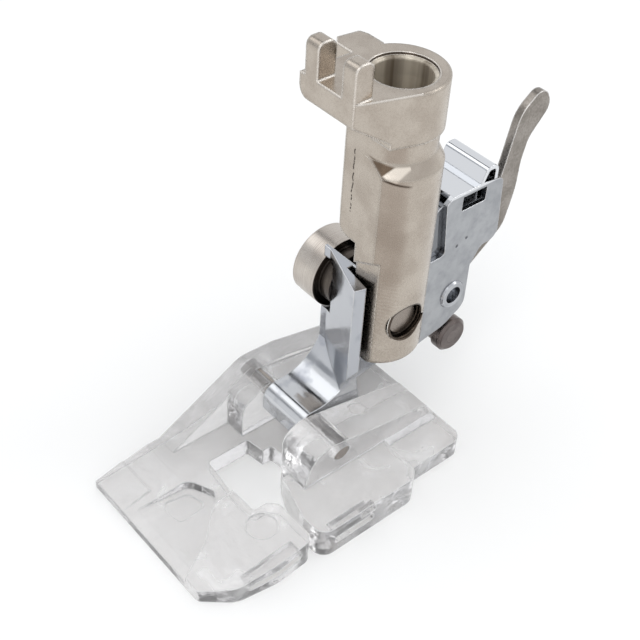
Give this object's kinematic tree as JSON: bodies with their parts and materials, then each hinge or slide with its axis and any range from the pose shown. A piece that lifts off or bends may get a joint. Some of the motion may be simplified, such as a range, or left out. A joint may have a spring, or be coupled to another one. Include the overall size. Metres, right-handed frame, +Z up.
{
  "type": "sewing machine presser foot",
  "caption": "Clear tape-guide presser foot on a quick-release ankle with a rear lever, clamped to a cone-socket adapter with a forked head.",
  "frame": {"origin": "on the presser bar's axis at the height of the sole, which stands on the machine's bed", "axes": "+X to the sewer's right, +Y to the back of the machine, +Z up along the presser bar"},
  "size_m": [0.0213, 0.0511, 0.0479],
  "materials": {
    "nickel_casting": "satin nickel plated die casting",
    "nickel_screw": "brushed nickel plated steel",
    "chrome_casting": "bright chrome plated casting",
    "lever_steel": "plain brownish grey tumbled steel",
    "chrome_sheet": "chrome plated folded sheet",
    "spring_sheet": "polished plated spring strip",
    "rivet_steel": "plated tubular rivet",
    "dark_stud": "dark oxide steel",
    "bar_steel": "plain steel pin",
    "clear_plastic": "clear moulded plastic, faintly scuffed"
  },
  "bodies": {
    "holder": {"adapter_body": "nickel_casting", "ankle_body": "chrome_casting", "latch_housing": "chrome_sheet", "lever_spring": "spring_sheet", "pivot_rivet": "rivet_steel", "stop_stud": "dark_stud"},
    "lever": {"release_lever": "lever_steel"},
    "screw": {"thumb_screw": "nickel_screw"},
    "foot": {"foot_sole": "clear_plastic", "foot_bar": "bar_steel"}
  },
  "joints": [
    {"name": "foot_tilt", "type": "hinge", "parent": "holder", "child": "foot", "pos_m": [0, -0.00845, 0.00685], "axis": [1, 0, 0], "range_deg": [-10, 12]},
    {"name": "lever_press", "type": "hinge", "parent": "holder", "child": "lever", "pos_m": [0, 0.01, 0.01506], "axis": [1, 0, 0], "range_deg": [0, 7], "stiffness_Nm_per_rad": 0.05, "springref_deg": -11.46},
    {"name": "screw_turn", "type": "hinge", "parent": "holder", "child": "screw", "pos_m": [0, -0.00035, 0.0192], "axis": [1, 0, 0], "continuous": true}
  ]
}
